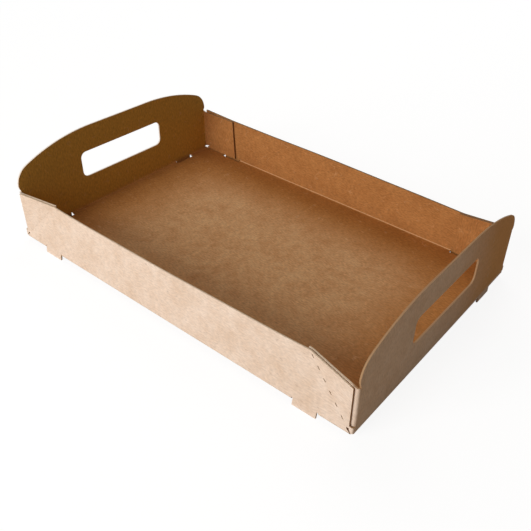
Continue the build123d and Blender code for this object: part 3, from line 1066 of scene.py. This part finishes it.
def pale_floor(stage):
    """Matt white paper sweep: it keeps a faint shadow near the tray and fades to plain white further out."""
    material, tree = new_material("white_paper_sweep")
    place = add_node(tree, "ShaderNodeTexCoord")["Object"]
    far = add_node(tree, "ShaderNodeVectorMath", {"operation": "LENGTH"}, {0: place})["Value"]
    fade = {0: far, 1: SHADOW_FULL, 2: SHADOW_GONE}
    glow = add_node(tree, "ShaderNodeMapRange", inputs={**fade, 3: SWEEP_GLOW, 4: 1.0})[0]
    grey = add_node(tree, "ShaderNodeMapRange", inputs={**fade, 3: SWEEP_GREY, 4: 0.0})[0]
    shade = add_node(tree, "ShaderNodeCombineColor", inputs={0: grey, 1: grey, 2: grey})[0]
    shadowed = add_node(tree, "ShaderNodeBsdfDiffuse", inputs={"Color": shade})[0]
    glowing = add_node(tree, "ShaderNodeEmission", inputs={"Strength": glow})[0]
    shown = add_node(tree, "ShaderNodeAddShader", inputs={0: shadowed, 1: glowing})[0]
    plain = add_node(tree, "ShaderNodeBsdfDiffuse", inputs={"Color": opaque(stage.floor_colour)})[0]
    mixed = add_node(tree, "ShaderNodeMixShader", inputs={0: seen_rays(tree), 1: plain, 2: shown})[0]
    add_node(tree, "ShaderNodeOutputMaterial", inputs={"Surface": mixed})
    return material


def paper_sweep(scene, stage):
    """A level sheet of white paper under the tray."""
    low = CAD_BOX[0].z
    corners = [(x * SWEEP_REACH, y * SWEEP_REACH, low) for x, y in ((-1, -1), (1, -1), (1, 1), (-1, 1))]
    mesh = bpy.data.meshes.new("paper_sweep")
    mesh.from_pydata(corners, [], [(0, 1, 2, 3)])
    mesh.materials.append(pale_floor(stage))
    sweep = bpy.data.objects.new("paper_sweep", mesh)
    scene.collection.objects.link(sweep)


def soft_lamp(scene, name, place, side, share):
    """Square area lamp whose power brings out a share of the colour of a surface that faces it at its aim: pi
    squared times the squared distance times the share."""
    data = bpy.data.lights.new(name, "AREA")
    data.shape, data.size = "SQUARE", side
    away = Vector(place) - Vector(LAMP_AIM)
    data.energy = math.pi ** 2 * away.length_squared * share
    lamp = bpy.data.objects.new(name, data)
    lamp.matrix_world = Matrix.Translation(place) @ away.to_track_quat("Z", "Y").to_matrix().to_4x4()
    scene.collection.objects.link(lamp)


def white_room(scene, stage):
    """Background that is white to the eye and dim and warm as a light from all round."""
    scene.world = bpy.data.worlds.new("white_room")
    scene.world.use_nodes = True
    tree = scene.world.node_tree
    tree.nodes.clear()
    backgrounds = ((opaque(stage.ambient_colour), stage.ambient), ((1, 1, 1, 1), 1))
    dim, white = (add_node(tree, "ShaderNodeBackground", inputs={"Color": tint, "Strength": strength})[0]
                  for tint, strength in backgrounds)
    mixed = add_node(tree, "ShaderNodeMixShader", inputs={0: seen_rays(tree), 1: dim, 2: white})[0]
    add_node(tree, "ShaderNodeOutputWorld", inputs={"Surface": mixed})


def add_camera(scene, place):
    """Camera turned by a yaw from +Y towards +X, a pitch above the horizon and a roll."""
    yaw, pitch, roll = map(math.radians, (CAMERA_YAW, CAMERA_PITCH, CAMERA_ROLL))
    ahead = Vector((math.sin(yaw) * math.cos(pitch), math.cos(yaw) * math.cos(pitch), math.sin(pitch)))
    level_right = Vector((math.cos(yaw), -math.sin(yaw), 0))
    level_up = level_right.cross(ahead)
    right = math.cos(roll) * level_right + math.sin(roll) * level_up
    up = -math.sin(roll) * level_right + math.cos(roll) * level_up
    data = bpy.data.cameras.new("camera")
    data.sensor_width = SENSOR_WIDTH
    data.lens = SENSOR_WIDTH * FOCAL_PX / IMAGE_SIDE_PX
    data.clip_start, data.clip_end = CLIP_START, CLIP_END
    camera = bpy.data.objects.new("camera", data)
    turn = Matrix((right, up, -ahead)).transposed().to_4x4()
    camera.matrix_world = Matrix.Translation(place) @ turn
    scene.collection.objects.link(camera)
    scene.camera = camera


class TRAY_OT_stage(bpy.types.Operator):
    """Set the floor, the soft lamps, the background and the camera"""
    bl_idname = "tray.stage"
    bl_label = "Set Stage"

    def execute(self, context):
        scene, stage = context.scene, context.scene.stage_light
        paper_sweep(scene, stage)
        soft_lamp(scene, "key_softbox", KEY_PLACE, KEY_SIDE, stage.key)
        soft_lamp(scene, "top_softbox", TOP_PLACE, TOP_SIDE, stage.top)
        white_room(scene, stage)
        scene.view_settings.view_transform = "Standard"
        add_camera(scene, Vector(CAMERA_PLACE) + Vector(floor_middle(scene.tray_sizes)))
        return {"FINISHED"}


class TRAY_PT_panel(bpy.types.Panel):
    """Lists the steps that make the tray, and its sizes and colours"""
    bl_idname = "TRAY_PT_panel"
    bl_label = "Folded Board Tray"
    bl_space_type = "VIEW_3D"
    bl_region_type = "UI"
    bl_category = "Tray"

    def draw(self, context):
        for step in STEPS:
            self.layout.operator(step.bl_idname)
        for group in ("tray_sizes", "board_finish", "stage_light"):
            held = getattr(context.scene, group)
            column = self.layout.column(align=True)
            for name in held.__annotations__:
                column.prop(held, name)


STEPS = (TRAY_OT_fold_board, TRAY_OT_stage)
CLASSES = (TraySizes, BoardFinish, StageLight, *STEPS, TRAY_PT_panel)


def register():
    for cls in CLASSES:
        bpy.utils.register_class(cls)
    bpy.types.Scene.tray_sizes = PointerProperty(type=TraySizes)
    bpy.types.Scene.board_finish = PointerProperty(type=BoardFinish)
    bpy.types.Scene.stage_light = PointerProperty(type=StageLight)


def unregister():
    del bpy.types.Scene.stage_light, bpy.types.Scene.board_finish, bpy.types.Scene.tray_sizes
    for cls in reversed(CLASSES):
        bpy.utils.unregister_class(cls)


def main():
    register()
    bpy.ops.tray.fold_board()
    bpy.ops.tray.stage()


if __name__ == "__main__":
    main()
